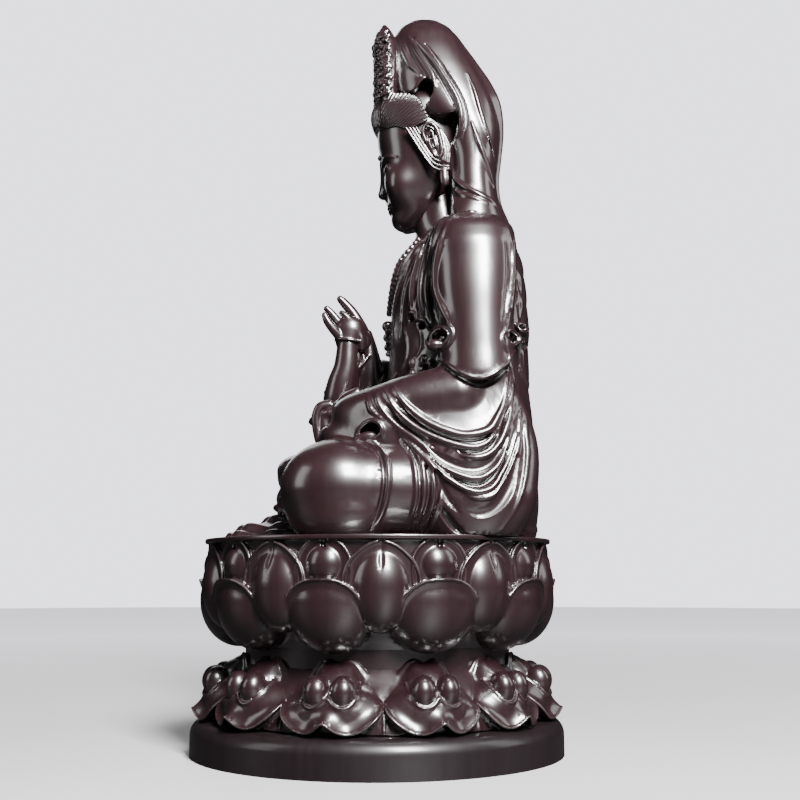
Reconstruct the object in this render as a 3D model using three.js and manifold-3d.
// A seated guanyin figure on a lotus throne with a round plinth.
// Millimetres, +Z up. The origin is the centre of the plinth's underside.
// The figure faces -Y and its own left side is +X.

import * as THREE from 'three';
import { mergeVertices } from 'three/addons/utils/BufferGeometryUtils.js';
import { SimplifyModifier } from 'three/addons/modifiers/SimplifyModifier.js';
import Module from 'manifold-3d';

const wasm = await Module();
wasm.setup();

// Plinth: a turned disc with a soft shoulder.
const plinthRadius = 114.6;
const plinthHeight = 21.5;
const plinthShoulder = 9;

// Lotus throne: a crown of petals that opens upwards, a plain waist, a ring of petals that hangs down.
const throneHeight = 107.6;
const deckRadius = 108.3;
const deckRim = 3.2;
const waistRadius = 82;
const waistFoot = 34;
const waistHead = 50;
const upperPetals = 10;
const lowerPetals = 12;
const skirtRadius = 103;
const petalSwell = 8.5;
const petalRim = 1.6;
const topNotch = 1.5;
const lipFlare = 8;
const skirtFlare = 5;

// Figure: every form keeps its share of the figure's own height, from the seat to the top of the veil.
const figureHeight = 350.9;
const drawnHeight = 351;
const share = figureHeight / drawnHeight;

// Numbers of flats, which set how finely the round forms are cut.
const turnedSides = 48;
const bodySides = 36;
const limbSides = 12;

// Facets left on each carved piece once its flatter areas are thinned out.
const throneFacets = 4400;
const figureFacets = 5200;

const deckTop = plinthHeight + throneHeight;

// Turns a closed three.js geometry into a solid.
function solid(geometry) {
  const bare = geometry.index ? geometry : geometry.clone();
  bare.deleteAttribute('normal');
  bare.deleteAttribute('uv');
  const merged = mergeVertices(bare, 1e-4);
  return new wasm.Manifold(new wasm.Mesh({
    numProp: 3,
    vertProperties: new Float32Array(merged.attributes.position.array),
    triVerts: new Uint32Array(merged.index.array),
  }));
}

// Turns a solid back into a three.js geometry.
function geometryOf(body) {
  const mesh = body.getMesh();
  const geometry = new THREE.BufferGeometry();
  geometry.setAttribute('position', new THREE.BufferAttribute(new Float32Array(mesh.vertProperties), 3));
  geometry.setIndex(new THREE.BufferAttribute(new Uint32Array(mesh.triVerts), 1));
  return geometry;
}

// Joins a list of solids two by two, so that no join has to carry the whole body.
function join(bodies) {
  let row = bodies;
  while (row.length > 1) {
    const next = [];
    for (let i = 0; i < row.length; i += 2) {
      next.push(i + 1 < row.length ? row[i].add(row[i + 1]) : row[i]);
    }
    row = next;
  }
  return row[0];
}

// Thins a finely cut body down to a number of facets, which stay where the form bends most.
async function thinned(body, facets) {
  const fine = mergeVertices(geometryOf(body), 2e-3);
  const corners = fine.index.array;
  const kept = [];
  for (let i = 0; i < corners.length; i += 3) {
    const [a, b, c] = corners.slice(i, i + 3);
    if (a !== b && b !== c && c !== a) kept.push(a, b, c);
  }
  fine.setIndex(kept);
  const spare = Math.max(0, 1 - (3 * facets) / kept.length);
  const thin = await new SimplifyModifier().modify(fine, Math.floor(spare * fine.attributes.position.count));
  const shells = solid(thin).decompose();
  return shells.reduce((largest, shell) => (shell.volume() > largest.volume() ? shell : largest));
}

// A solid over points and faces. If the faces point inwards, they are turned.
function closed(points, faces) {
  const geometry = new THREE.BufferGeometry();
  geometry.setAttribute('position', new THREE.Float32BufferAttribute(points.flatMap((p) => p.toArray()), 3));
  geometry.setIndex(faces);
  const body = solid(geometry);
  if (body.volume() >= 0) return body;
  geometry.setIndex(faces.map((_, i) => faces[i - (i % 3) + 2 - (i % 3)]));
  return solid(geometry);
}

// A closed skin over rings with the same number of points, with a fan of triangles at each end.
function skin(rings) {
  const count = rings[0].length;
  const points = rings.flat();
  const middle = (ring) => ring.reduce((sum, p) => sum.add(p), new THREE.Vector3()).divideScalar(count);
  const first = points.length;
  const last = first + 1;
  points.push(middle(rings[0]), middle(rings[rings.length - 1]));
  const faces = [];
  const tail = (rings.length - 1) * count;
  for (let i = 0; i < count; i++) {
    const j = (i + 1) % count;
    faces.push(first, j, i, last, tail + i, tail + j);
    for (let r = 0; r < rings.length - 1; r++) {
      const a = r * count;
      const b = a + count;
      faces.push(a + i, a + j, b + j, a + i, b + j, b + i);
    }
  }
  return closed(points, faces);
}

// A point of the figure, as drawn, at the size set.
const at = (x, y, z) => new THREE.Vector3(x, y, z).multiplyScalar(share);

// Rings stacked from bottom to top. Each row is height, y, half width, half depth, x and depth of pleats.
// Pleats run up the rings: every second point of the sector that the test names is drawn in.
function stack(rows, sides, squareness = 2.2, pleated = () => false) {
  return skin(rows.map(([z, y, rx, ry, x = 0, pleat = 0]) => Array.from({ length: sides }, (_, i) => {
    const angle = (i / sides) * 2 * Math.PI;
    const round = (v) => Math.sign(v) * Math.abs(v) ** (2 / squareness);
    const drawn = pleated(angle) && i % 2 ? pleat : 0;
    return at(x + (rx - drawn) * round(Math.cos(angle)), y + (ry - drawn) * round(Math.sin(angle)), z);
  })));
}

// A level direction across a path, or +X where the path stands almost upright.
function firstSide(ahead) {
  const upright = 0.14;
  if (Math.hypot(ahead.x, ahead.y) < upright) return new THREE.Vector3(1, 0, 0);
  return new THREE.Vector3(-ahead.y, ahead.x, 0);
}

// A limb along a smooth path. Each station is x, y, z, radius and, where the limb is flattened, its rise.
function limb(stations, sides = limbSides, steps = stations.length - 1) {
  const path = new THREE.CatmullRomCurve3(stations.map(([x, y, z]) => at(x, y, z)), false, 'centripetal');
  const rings = [];
  let side = null;
  for (let i = 0; i <= steps; i++) {
    const t = i / steps;
    const k = t * (stations.length - 1);
    const lower = stations[Math.floor(k)];
    const upper = stations[Math.ceil(k)];
    const size = (station, n) => station[n] ?? station[3];
    const mix = (n) => THREE.MathUtils.lerp(size(lower, n), size(upper, n), k - Math.floor(k)) * share;
    const centre = path.getPoint(t);
    const ahead = path.getTangent(t);
    side ??= firstSide(ahead);
    side = side.clone().addScaledVector(ahead, -side.dot(ahead)).normalize();
    const rise = new THREE.Vector3().crossVectors(ahead, side);
    rings.push(Array.from({ length: sides }, (_, n) => {
      const angle = (n / sides) * 2 * Math.PI;
      return centre.clone()
        .addScaledVector(side, Math.cos(angle) * mix(3))
        .addScaledVector(rise, Math.sin(angle) * mix(4));
    }));
  }
  return skin(rings);
}

// An egg of the given half sizes.
function egg(x, y, z, rx, ry, rz, around = 10, down = 7) {
  const geometry = new THREE.SphereGeometry(1, around, down);
  geometry.rotateX(Math.PI / 2);
  geometry.scale(rx * share, ry * share, rz * share);
  geometry.translate(x * share, y * share, z * share);
  return solid(geometry);
}

// Calls a maker once for each side of the figure, with +1 for its left and -1 for its right.
const bothSides = (make) => [make(1), make(-1)];

// Body and robe.

// The back of the robe hangs in long pleats.
const backSector = (angle) => Math.sin(angle) > 0.25;

function torso() {
  return stack([
    [-2, 50, 82, 48, 0, 0],
    [21, 50, 86, 51, 0, 1.5],
    [43, 50, 79, 51, 0, 2.5],
    [71, 50, 66, 48.5, 0, 3],
    [103, 51, 61, 46.5, 0, 3],
    [133, 52, 62, 46, 0, 3],
    [159, 52, 63, 44, 0, 2.5],
    [177, 53, 58, 40.5, 0, 1.5],
    [189, 56, 47, 35],
    [199, 59, 34, 29],
    [209, 60, 24, 24],
  ], bodySides, 2.2, backSector);
}

// The cape's pleats lie in front of the arm and behind it.
const capePleats = (angle) => Math.abs(Math.sin(angle)) > 0.5;

function shoulderCape(side) {
  const bell = stack([
    [94, 60, 17, 15, 70 * side],
    [93, 59.5, 20.5, 19, 70 * side],
    [97, 59, 23, 22.5, 70 * side, 1],
    [106, 58.5, 21, 22, 69 * side, 2],
    [122, 58, 20.5, 22.5, 67 * side, 3],
    [143, 57.5, 20.5, 24, 63 * side, 3],
    [163, 57.5, 21, 25, 60 * side, 2],
    [178, 57, 21, 25, 54 * side, 1],
    [190, 57, 19, 22, 46 * side],
    [198, 58, 13, 15, 38 * side],
  ], 22, 2.2, capePleats);
  const curls = [[37, 120, 5], [79, 118, 4.5], [81, 134, 4]];
  return join([bell, ...curls.map(([y, z, r]) => egg(70 * side, y, z, 8, r, r * 1.3, 10, 7))]);
}

// The wide sleeve below the cape, which hangs from the elbow to the seat.
function sleeveBag(side) {
  return stack([
    [-2, 55, 19, 24, 72 * side],
    [5, 55, 22, 29, 72 * side],
    [16, 54, 24, 36, 72 * side],
    [33, 50, 24, 43, 71 * side],
    [53, 47, 22, 46, 70 * side],
    [72, 45, 20, 43, 69 * side],
    [88, 49, 20, 34, 67 * side],
    [112, 56, 18, 22, 63 * side],
  ], 14);
}

function crossedLegs() {
  const knees = bothSides((side) => egg(71 * side, -25, 27, 31, 34, 28.5, 12, 8));
  const thighs = bothSides((side) => limb([
    [72 * side, -20, 26, 28],
    [70 * side, 16, 26, 27],
    [60 * side, 46, 24, 27],
  ]));
  const shins = limb([
    [-82, -30, 27, 17, 20],
    [-52, -40, 31, 22, 28],
    [0, -38, 28, 23, 28],
    [52, -40, 31, 22, 28],
    [82, -30, 27, 17, 20],
  ], 12);
  const lap = egg(0, 2, 34, 62, 44, 30, 14, 8);
  const lapCloth = bothSides((side) => egg(44 * side, -13, 61, 26, 26, 16, 12, 6));
  return [...knees, ...thighs, shins, lap, ...lapCloth];
}

// The arms leave the capes at the elbow. The right hand is raised and the left one lies in the lap.
const raisedWrist = [-31, -20, 133];
const restingWrist = [30, -26, 75];

function arms() {
  const resting = limb([
    [74, 42, 78, 19],
    [66, 16, 79, 17.5],
    [48, -8, 78, 15.5],
    [...restingWrist, 14],
  ]);
  const sleeve = limb([
    [-76, 42, 76, 19],
    [-66, 12, 77, 18],
    [-50, -10, 82, 16.5],
  ]);
  const forearm = limb([
    [-58, 0, 78, 14],
    [-44, -20, 86, 14],
    [-35, -24, 106, 10.5],
    [...raisedWrist, 8],
  ], 10, 4);
  return [resting, sleeve, forearm];
}

// A limb drawn from a joint: each station is its way from there, then radius and rise.
const limbFrom = ([x, y, z], stations, sides, steps) => limb(
  stations.map(([dx, dy, dz, ...size]) => [x + dx, y + dy, z + dz, ...size]), sides, steps,
);
const finger = (wrist, ...stations) => limbFrom(wrist, stations, 7, 5);

function raisedHand() {
  const wrist = raisedWrist;
  return [
    limbFrom(wrist, [[0, 0, -3, 8], [0, 2, 8, 10.5, 7], [0, -5, 19, 9, 5]], 8),
    finger(wrist, [6, -4, 15, 3.2], [6, -4, 25, 2.8], [4, -7, 35, 1.8]),
    finger(wrist, [2, -6, 15, 3.2], [3, -13, 21, 2.8], [5, -17, 18, 2]),
    finger(wrist, [-3, -6, 15, 3.1], [-3, -12, 22, 2.6], [-2, -16, 26, 1.8]),
    finger(wrist, [-8, -4, 13, 2.9], [-9, -9, 22, 2.4], [-9, -12, 30, 1.6]),
    finger(wrist, [8, 0, 3, 3.6], [11, -9, 9, 3.1], [7, -16, 15, 2.1]),
  ];
}

function restingHand() {
  const wrist = restingWrist;
  const fingers = [0, 1, 2, 3].map((n) => finger(
    wrist,
    [-15 + 3 * n, -9 - 1.5 * n, -2, 3.2],
    [-21 + 3 * n, -13 - 1.5 * n, -4, 2.9],
    [-21 + 4 * n, -14 - 1.2 * n, -12, 2],
  ));
  return [
    limbFrom(wrist, [[2, 2, 0, 10, 9], [-6, -7, 0, 11, 7], [-13, -11, -2, 9, 5]], 8),
    ...fingers,
    finger(wrist, [-4, -9, 3, 3.4], [-12, -13, 3, 2.9], [-17, -14, -1, 2]),
  ];
}

// Head, of the usual proportions: the face is three even parts from the hairline to the chin.
const chin = 205;
const hairline = 292;
const facePart = (hairline - chin) / 3;
const browHeight = hairline - facePart;
const noseBase = browHeight - facePart;
const mouthHeight = noseBase - facePart / 3;
const faceFront = -2.5;

function head() {
  const skull = stack([
    [chin - 1, faceFront + 15, 7, 6],
    [chin + 3, faceFront + 17, 13, 12.5],
    [chin + 10, faceFront + 21, 19, 18.5],
    [chin + 22, faceFront + 25.5, 24.5, 24],
    [chin + 40, faceFront + 29, 27.5, 28.5],
    [chin + 60, faceFront + 31, 29, 30.5],
    [chin + 80, faceFront + 32, 28, 30],
    [chin + 96, faceFront + 36, 19, 21],
  ], 18, 2.1);
  const neck = limb([[0, 46, 180, 22], [0, 40, 198, 17.5], [0, 34, 218, 17]]);
  const nose = limb([
    [0, faceFront + 3.5, browHeight, 2.2, 2.4],
    [0, faceFront - 1, noseBase + 4, 3.6, 3.4],
    [0, faceFront + 2.5, noseBase, 4.6, 2.6],
  ], 6);
  const lips = [
    egg(0, faceFront + 4.4, mouthHeight + 1.6, 7.5, 3.2, 2, 6, 4),
    egg(0, faceFront + 5.4, mouthHeight - 1.8, 6, 3.2, 2.2, 6, 4),
  ];
  const eyes = bothSides((side) => egg(11.5 * side, faceFront + 5.6, browHeight - 8, 6.5, 4, 3.4, 8, 4));
  const ears = bothSides((side) => limb([
    [29 * side, 36, browHeight - 1, 2.5, 5],
    [30.5 * side, 36.5, browHeight - 13, 2.8, 6.5],
    [29.5 * side, 34, noseBase - 2, 3, 4.5],
    [28 * side, 33, noseBase - 9, 2.2, 2.6],
  ], 6));
  return [skull, neck, nose, ...lips, ...eyes, ...ears];
}

// Hair above the brow, with a knot at the front of the hairline.
function hairCap() {
  const cap = stack([
    [hairline - 9, 32, 29.5, 29],
    [hairline - 3, 30.5, 30.5, 33, 0, 1],
    [hairline + 6, 31, 28.5, 31.5, 0, 1],
    [hairline + 15, 32, 20, 24],
  ], 20, 2, () => true);
  return [cap, egg(0, -0.8, hairline - 3, 8, 3.2, 7, 8, 5)];
}

// The veil's pleats run down from its top, behind the temples.
const veilPleats = (angle) => Math.sin(angle) > -0.3;

// The veil covers the crown's back and the head, and falls behind the ears on to the shoulders.
function veil() {
  return stack([
    [196, 58, 52, 32],
    [206, 60.5, 46, 25.5, 0, 1],
    [216, 61.5, 42, 20.5, 0, 1.5],
    [232, 61.5, 40, 18.5, 0, 2],
    [249, 61, 39, 19.5, 0, 2],
    [266, 57.5, 39, 24, 0, 2],
    [274, 51.5, 38.5, 29, 0, 2],
    [287, 44.5, 37, 34.5, 0, 2],
    [304, 40, 34.5, 32.5, 0, 2],
    [322, 35.5, 29, 26.8, 0, 1.5],
    [338, 31.5, 21, 21.5, 0, 1],
    [348, 30.5, 11.5, 13.5],
    [351, 32, 3, 4],
  ], bodySides, 2, veilPleats);
}

// The veil's front edge turns over into a rolled hem, which curls twice beside the face.
function veilHem(side) {
  return limb([
    [20 * side, 10.5, 334, 1.5],
    [32 * side, 12, 305, 2.2],
    [34.5 * side, 16, 289, 2.6],
    [36.5 * side, 29, 288, 3.2],
    [37 * side, 33, 268, 2.4],
    [37.5 * side, 46, 262, 3],
    [38.5 * side, 47, 236, 2.4],
    [40.5 * side, 46, 213, 2.2],
  ], 5);
}

// Crown: an upright plate with a leafed edge, bent round the front of the veil. Curls stand on it beside a
// middle row of bosses.
const crownBend = (x) => 0.016 * x * x;

function crown() {
  const outline = new THREE.Shape();
  const leaves = 7;
  const foot = 289;
  const rise = 46;
  const reach = 26;
  outline.moveTo(-reach * share, foot * share);
  for (let n = 0; n <= 2 * leaves; n++) {
    const t = n / leaves - 1;
    const leaf = n % 2 === leaves % 2 ? 2.5 : -1.5;
    const height = foot + 8 + (rise - 8) * Math.cos((t * Math.PI) / 2) ** 0.7 + leaf;
    outline.lineTo(t * reach * share, height * share);
  }
  outline.lineTo(reach * share, foot * share);
  for (let n = 1; n < leaves; n++) outline.lineTo(reach * (1 - (2 * n) / leaves) * share, foot * share);
  const plate = new THREE.ExtrudeGeometry(outline, { depth: 12 * share, bevelEnabled: false });
  plate.rotateX(Math.PI / 2);
  plate.translate(0, 10.5 * share, 0);
  const place = plate.attributes.position;
  for (let i = 0; i < place.count; i++) {
    place.setY(i, place.getY(i) + crownBend(place.getX(i) / share) * share);
  }
  const bosses = [[0, 335, 5], [0, 321, 4.2], [0, 305, 5]];
  const curls = [[9, 329, 4.4], [11, 312, 4.8], [19, 320, 4], [20, 302, 4.6], [9, 298, 3.8]];
  const knobs = [...bosses, ...bothSides((side) => curls.map(([x, z, r]) => [x * side, z, r])).flat()];
  const tip = limb([[0, 4, 332, 6, 4], [0, 3.5, 341, 4, 3], [0, 3, 348.5, 1, 1]], 8);
  return [solid(plate), tip, ...knobs.map(([x, z, r]) => egg(x, crownBend(x) - 1.4, z, r, 2.8, r, 8, 5))];
}

// Deck cloth: the end of the robe lies in waves on the deck in front of the legs.
function frontCloth() {
  const across = 10;
  const along = 5;
  const top = [];
  for (let j = 0; j <= along; j++) {
    const v = j / along;
    const y = THREE.MathUtils.lerp(-48, -105, v);
    const halfWidth = THREE.MathUtils.lerp(44, 27, v * v);
    const crest = THREE.MathUtils.lerp(21, 3.2, v ** 0.75);
    top.push(Array.from({ length: across + 1 }, (_, i) => {
      const u = (2 * i) / across - 1;
      const wave = 3.4 * (i % 2 ? 1 : -1) * Math.sin(v * Math.PI * 0.8 + 0.35);
      const drop = 1 - 0.75 * Math.abs(u) ** 3;
      const hem = (i % 2 ? -2 : 3) * v + 16 * v * u * u;
      return at(u * halfWidth, y + hem, Math.max(1.4, crest * drop + wave));
    }));
  }
  const sunk = (row) => row.map((p) => new THREE.Vector3(p.x, p.y, -share));
  const border = [sunk(top[0]), ...top, sunk(top[along])];
  const hemmed = border.map((row) => [...sunk(row.slice(0, 1)), ...row, ...sunk(row.slice(-1))]);
  return patch(hemmed, at(0, -75, -4));
}

// A closed patch: rows of points outside, and a fan from their border to one point inside the body.
function patch(rows, inner) {
  const across = rows[0].length;
  const points = [...rows.flat(), inner];
  const faces = [];
  const border = [];
  for (let r = 0; r < rows.length - 1; r++) {
    for (let c = 0; c < across - 1; c++) {
      const a = r * across + c;
      faces.push(a, a + 1, a + across + 1, a, a + across + 1, a + across);
    }
  }
  for (let c = 0; c < across - 1; c++) border.push(c);
  for (let r = 0; r < rows.length - 1; r++) border.push(r * across + across - 1);
  for (let c = across - 1; c > 0; c--) border.push((rows.length - 1) * across + c);
  for (let r = rows.length - 1; r > 0; r--) border.push(r * across);
  border.forEach((b, i) => faces.push(b, points.length - 1, border[(i + 1) % border.length]));
  return closed(points, faces);
}

// Cloth folds lie on the finished body. Each guide is an outline and its lift: crests stand proud, while
// valleys and borders sink in. A ray from outside finds the body under each point of a guide.
function foldMaker(body) {
  const target = new THREE.Mesh(geometryOf(body), new THREE.MeshBasicMaterial({ side: THREE.DoubleSide }));
  const far = 400;
  const lay = (guides, stations, from, towards, inner) => {
    const rows = guides.map(([lift, outline]) => {
      const curve = new THREE.SplineCurve(outline.map(([a, b]) => new THREE.Vector2(a, b)));
      return curve.getPoints(stations).map((p) => {
        const hits = new THREE.Raycaster(from(p), towards).intersectObject(target);
        const point = hits.length ? hits[0].point : from(p).addScaledVector(towards, far * share);
        return point.addScaledVector(towards, -lift * share);
      });
    });
    return patch(rows, inner);
  };
  const backwards = new THREE.Vector3(0, 1, 0);
  return {
    onSide: (side, guides, stations, [x, y, z]) => lay(
      guides, stations, (p) => at(far * side, p.x, p.y), new THREE.Vector3(-side, 0, 0), at(x * side, y, z),
    ),
    onFront: (guides, stations, inner) => lay(
      guides, stations, (p) => at(p.x, -far, p.y), backwards, at(...inner),
    ),
    frontAt: (x, z) => {
      const [hit] = new THREE.Raycaster(at(x, -far, z), backwards).intersectObject(target);
      return hit.point.y / share;
    },
  };
}

// Outlines seen from the side as y and height. The swags hang from the forearm to the back of the robe.
const swags = [
  [-3, [[2, 94], [20, 82], [40, 72], [56, 68], [69, 76], [76, 104]]],
  [3.5, [[1, 89], [20, 70], [36, 60], [54, 56], [67, 61], [74, 77], [77, 104]]],
  [-0.5, [[0, 86], [18, 66], [35, 55], [54, 51], [68, 57], [75, 75], [78.5, 103]]],
  [3, [[-2, 83], [16, 62], [34, 51], [54, 46], [70, 53], [77, 72], [80, 102]]],
  [-2, [[-4, 78], [12, 56], [30, 40], [47, 31], [62, 34], [74, 52], [81.5, 96]]],
  [3, [[-5, 73], [10, 50], [26, 34], [44, 22], [57, 19], [70, 31], [79, 57], [83, 94]]],
  [-1, [[-3, 66], [10, 45], [25, 27], [43, 13], [57, 11], [71, 24], [81, 50], [84.5, 88]]],
  [4, [[1, 58], [13, 38], [26, 18], [41, 7], [54, 4], [67, 7], [78, 25], [84, 54], [86, 84]]],
  [-4, [[6, 50], [16, 30], [28, 11], [42, 1], [54, -2], [69, 1], [81, 20], [87, 52], [88, 80]]],
];
const thighFolds = [
  [-3, [[-5, 52], [0, 38], [1, 22], [-4, 3]]],
  [3.5, [[-1, 54], [5, 40], [6, 24], [1, 3]]],
  [-2, [[4, 57], [10, 42], [11, 26], [6, 3]]],
  [4, [[9, 59], [16, 44], [17, 26], [12, 3]]],
  [-2, [[13, 60], [21, 45], [23, 26], [17, 3]]],
  [4, [[17, 62], [26, 46], [29, 28], [23, 3]]],
  [-3, [[21, 62], [31, 46], [35, 26], [29, 3]]],
];
const hairLocks = [
  [-1.5, [[10, 284], [22, 276], [33, 258]]],
  [1.8, [[7, 288], [22, 281], [36, 262]]],
  [-0.3, [[6, 291], [22, 285], [38, 268]]],
  [1.8, [[6, 295], [22, 290], [39, 274]]],
  [-0.3, [[8, 299], [24, 295], [38, 280]]],
  [1.5, [[12, 302], [26, 299], [37, 286]]],
  [-1.5, [[16, 305], [28, 303], [36, 292]]],
];
// Outlines seen from the front as x and height.
const shinFolds = [
  [-2, [[-72, 54], [-40, 45], [0, 38], [40, 45], [72, 54]]],
  [3, [[-72, 50], [-40, 38], [0, 30], [40, 38], [72, 50]]],
  [-0.5, [[-70, 44], [-39, 32], [0, 24], [39, 32], [70, 44]]],
  [3, [[-68, 38], [-38, 26], [0, 18], [38, 26], [68, 38]]],
  [-0.5, [[-65, 30], [-36, 20], [0, 12], [36, 20], [65, 30]]],
  [3, [[-62, 22], [-34, 13], [0, 6], [34, 13], [62, 22]]],
  [-2, [[-58, 14], [-33, 6], [0, 0], [33, 6], [58, 14]]],
];
const neckline = (turn) => [
  [-1.5, [[-37 * turn, 186], [-22 * turn, 150], [-8 * turn, 118], [12 * turn, 88]]],
  [2.4, [[-34 * turn, 189], [-19 * turn, 154], [-5 * turn, 122], [15 * turn, 90]]],
  [-1.5, [[-30 * turn, 191], [-16 * turn, 158], [-2 * turn, 126], [18 * turn, 93]]],
];

// Beads hang on the chest from both sides of the neck to a pendant.
function necklace(frontAt) {
  const beads = 11;
  const parts = [];
  for (let n = 0; n < beads; n++) {
    const t = n / (beads - 1);
    const z = THREE.MathUtils.lerp(193, 141, t ** 0.85);
    const x = 21 * (1 - t ** 1.6);
    for (const side of n === beads - 1 ? [0] : [1, -1]) {
      parts.push(egg(x * side, frontAt(x * side, z) - 0.6, z, 2.7, 2.4, 2.7, 6, 4));
    }
  }
  for (const [z, r] of [[131, 4.6], [119, 3.6], [108, 3]]) {
    parts.push(egg(0, frontAt(0, z), z, r, 3.2, r * 1.4, 6, 4));
  }
  return parts;
}

function figure() {
  const body = join([
    torso(), ...bothSides(shoulderCape), ...bothSides(sleeveBag), ...crossedLegs(), ...arms(),
    ...head(), ...hairCap(), veil(),
  ]);
  const folds = foldMaker(body);
  const drapery = bothSides((side) => [
    folds.onSide(side, swags, 7, [60, 48, 45]),
    folds.onSide(side, thighFolds, 4, [60, 14, 28]),
    folds.onSide(side, hairLocks, 4, [14, 26, 280]),
  ]).flat();
  const front = [
    folds.onFront(shinFolds, 8, [0, 0, 24]),
    folds.onFront(neckline(-1), 4, [0, 40, 140]),
    folds.onFront(neckline(1).map(([lift, outline]) => [lift - 0.8, outline]), 4, [0, 40, 140]),
  ];
  const all = join([
    body, ...drapery, ...front, ...bothSides(veilHem), ...necklace(folds.frontAt),
    ...raisedHand(), ...restingHand(), ...crown(), frontCloth(),
  ]);
  const depth = 60 * share;
  const below = new THREE.BoxGeometry(4 * deckRadius, 4 * deckRadius, depth);
  below.translate(0, 0, -depth / 2);
  return all.subtract(solid(below));
}

// Lotus throne.

// Half outline of the throne's core as radius and height above the plinth's top.
function throneCore() {
  const top = throneHeight;
  return [
    [0, 0],
    [skirtRadius - 6, 0],
    [skirtRadius - 3, 5],
    [waistRadius + 9, waistFoot - 12],
    [waistRadius, waistFoot],
    [waistRadius, waistHead - 6],
    [waistRadius + 6, waistHead],
    [deckRadius - 13, waistHead + 14],
    [deckRadius - 7, top - 24],
    [deckRadius - 5.5, top - deckRim - 1],
    [deckRadius, top - deckRim],
    [deckRadius, top],
    [0, top],
  ];
}

// Radius of the core's wall at a height, read from its half outline up to the deck's overhang.
function coreRadius(height) {
  const wall = throneCore().slice(1, -3);
  for (let i = 0; i < wall.length - 1; i++) {
    const [r0, z0] = wall[i];
    const [r1, z1] = wall[i + 1];
    if (height <= z1) return r0 + ((r1 - r0) * Math.max(0, height - z0)) / (z1 - z0);
  }
  return wall[wall.length - 1][0];
}

// A domed petal on a wall of revolution. Its outline is an egg, and rings run from its middle to its edge.
function petal({ angle, low, high, halfWidth, swell, rim, flare = 0, widest = 0.55, notch = 0, ...cut }) {
  const { rings = 3, around = 14 } = cut;
  const points = [];
  const place = (ring, spoke) => {
    const edge = ring / rings;
    const turn = (spoke / around) * 2 * Math.PI;
    const v = -Math.cos(turn) * edge;
    const dip = notch * Math.exp(-((turn - Math.PI) ** 2) / 0.12) * edge;
    const height = low + (high - low) * (widest + (v > 0 ? (1 - widest) * v : widest * v)) - dip;
    const across = Math.sin(turn) * edge * halfWidth;
    const dome = swell * Math.sqrt(Math.max(0, 1 - edge * edge));
    const lift = flare > 0 ? flare * Math.max(0, v) ** 6 : -flare * Math.max(0, -v) ** 2;
    const radius = coreRadius(height) + rim + dome + lift;
    const bearing = angle + across / coreRadius(height);
    return new THREE.Vector3(radius * Math.cos(bearing), radius * Math.sin(bearing), height);
  };
  points.push(place(0, 0));
  for (let ring = 1; ring <= rings; ring++) {
    for (let spoke = 0; spoke < around; spoke++) points.push(place(ring, spoke));
  }
  const depth = coreRadius((low + high) / 2) - 7;
  const inner = points.length;
  points.push(new THREE.Vector3(depth * Math.cos(angle), depth * Math.sin(angle), (low + high) / 2));
  const faces = [];
  for (let spoke = 0; spoke < around; spoke++) {
    const next = (spoke + 1) % around;
    faces.push(0, 1 + spoke, 1 + next);
    for (let ring = 0; ring < rings - 1; ring++) {
      const a = 1 + ring * around;
      const b = a + around;
      faces.push(a + spoke, b + spoke, b + next, a + spoke, b + next, a + next);
    }
    const rimStart = 1 + (rings - 1) * around;
    faces.push(inner, rimStart + next, rimStart + spoke);
  }
  return closed(points, faces);
}

// Copies a petal around the axis. An offset of 0.5 sets the ring between its neighbours.
function petalRing(count, offset, shape) {
  const pitch = (2 * Math.PI) / count;
  return Array.from({ length: count }, (_, n) => petal({ ...shape, angle: (n + offset) * pitch }));
}

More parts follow.
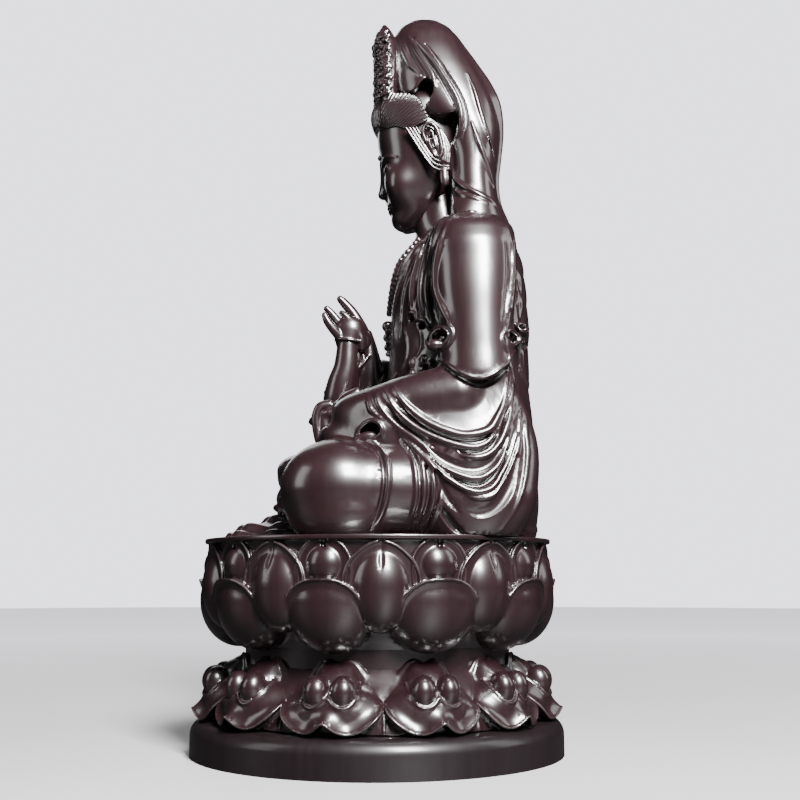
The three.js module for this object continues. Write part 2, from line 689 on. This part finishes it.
function lotusThrone() {
  const profile = throneCore().map(([r, z]) => new THREE.Vector2(r, z));
  const core = new THREE.LatheGeometry(profile, turnedSides);
  core.rotateX(Math.PI / 2);
  const underRim = throneHeight - deckRim - 0.6;
  const pitch = (Math.PI * deckRadius) / upperPetals;
  const lowerPitch = (Math.PI * skirtRadius) / lowerPetals;
  const tall = petalRing(upperPetals, 0, {
    low: waistHead + 6,
    high: underRim,
    halfWidth: 0.75 * pitch,
    swell: petalSwell - 1,
    rim: petalRim,
    notch: topNotch,
  });
  const short = petalRing(upperPetals, 0.5, {
    low: throneHeight - 32,
    high: underRim - 1,
    halfWidth: 0.46 * pitch,
    swell: petalSwell - 2,
    rim: petalRim,
    notch: topNotch,
    rings: 2,
    around: 12,
  });
  const broad = petalRing(upperPetals, 0.5, {
    low: waistHead - 7,
    high: throneHeight - 25,
    halfWidth: 0.74 * pitch,
    swell: petalSwell + 2,
    rim: petalRim,
    flare: lipFlare,
    widest: 0.6,
  });
  const hanging = petalRing(lowerPetals, 0.5, {
    low: 1.5,
    high: waistFoot + 5,
    halfWidth: 0.88 * lowerPitch,
    swell: petalSwell,
    rim: petalRim,
    flare: -skirtFlare,
    widest: 0.42,
    notch: 2 * topNotch,
  });
  const beans = [-1, 1].flatMap((side) => petalRing(lowerPetals, 0.5 + side * 0.11, {
    low: waistFoot - 17,
    high: waistFoot - 3,
    halfWidth: 4.6,
    swell: 3.5,
    rim: petalSwell + 2.5,
    rings: 2,
    around: 6,
  }));
  const tips = petalRing(lowerPetals, 0, {
    low: 1,
    high: waistFoot - 10,
    halfWidth: 0.4 * lowerPitch,
    swell: 2,
    rim: petalRim + 2,
    rings: 2,
    around: 8,
    widest: 0.25,
  });
  return join([solid(core), ...tall, ...short, ...broad, ...hanging, ...beans, ...tips]);
}

// Plinth.

function roundPlinth() {
  const edge = new THREE.Path();
  const seatRadius = plinthRadius - plinthShoulder;
  const wallHeight = plinthHeight - plinthShoulder;
  edge.moveTo(0, 0);
  edge.lineTo(plinthRadius, 0);
  edge.lineTo(plinthRadius, wallHeight);
  edge.absarc(seatRadius, wallHeight, plinthShoulder, 0, Math.PI / 2, false);
  edge.lineTo(0, plinthHeight);
  const geometry = new THREE.LatheGeometry(edge.getPoints(2), turnedSides);
  geometry.rotateX(Math.PI / 2);
  return solid(geometry);
}

const stained = { metalness: 0, roughness: 0.35 };
const robeFinish = new THREE.MeshStandardMaterial({ ...stained, color: 0x2a1d1e });
const lotusFinish = new THREE.MeshStandardMaterial({ ...stained, color: 0x241819 });
const plinthFinish = new THREE.MeshStandardMaterial({ ...stained, color: 0x1d1415, roughness: 0.42 });

function piece(name, body, material, height) {
  const mesh = new THREE.Mesh(geometryOf(body), material);
  mesh.name = name;
  mesh.position.z = height;
  return mesh;
}

const group = new THREE.Group();
group.add(piece('round_plinth', roundPlinth(), plinthFinish, 0));
group.add(piece('lotus_throne', await thinned(lotusThrone(), throneFacets), lotusFinish, plinthHeight));
group.add(piece('guanyin_figure', await thinned(figure(), figureFacets), robeFinish, deckTop));

export default group;
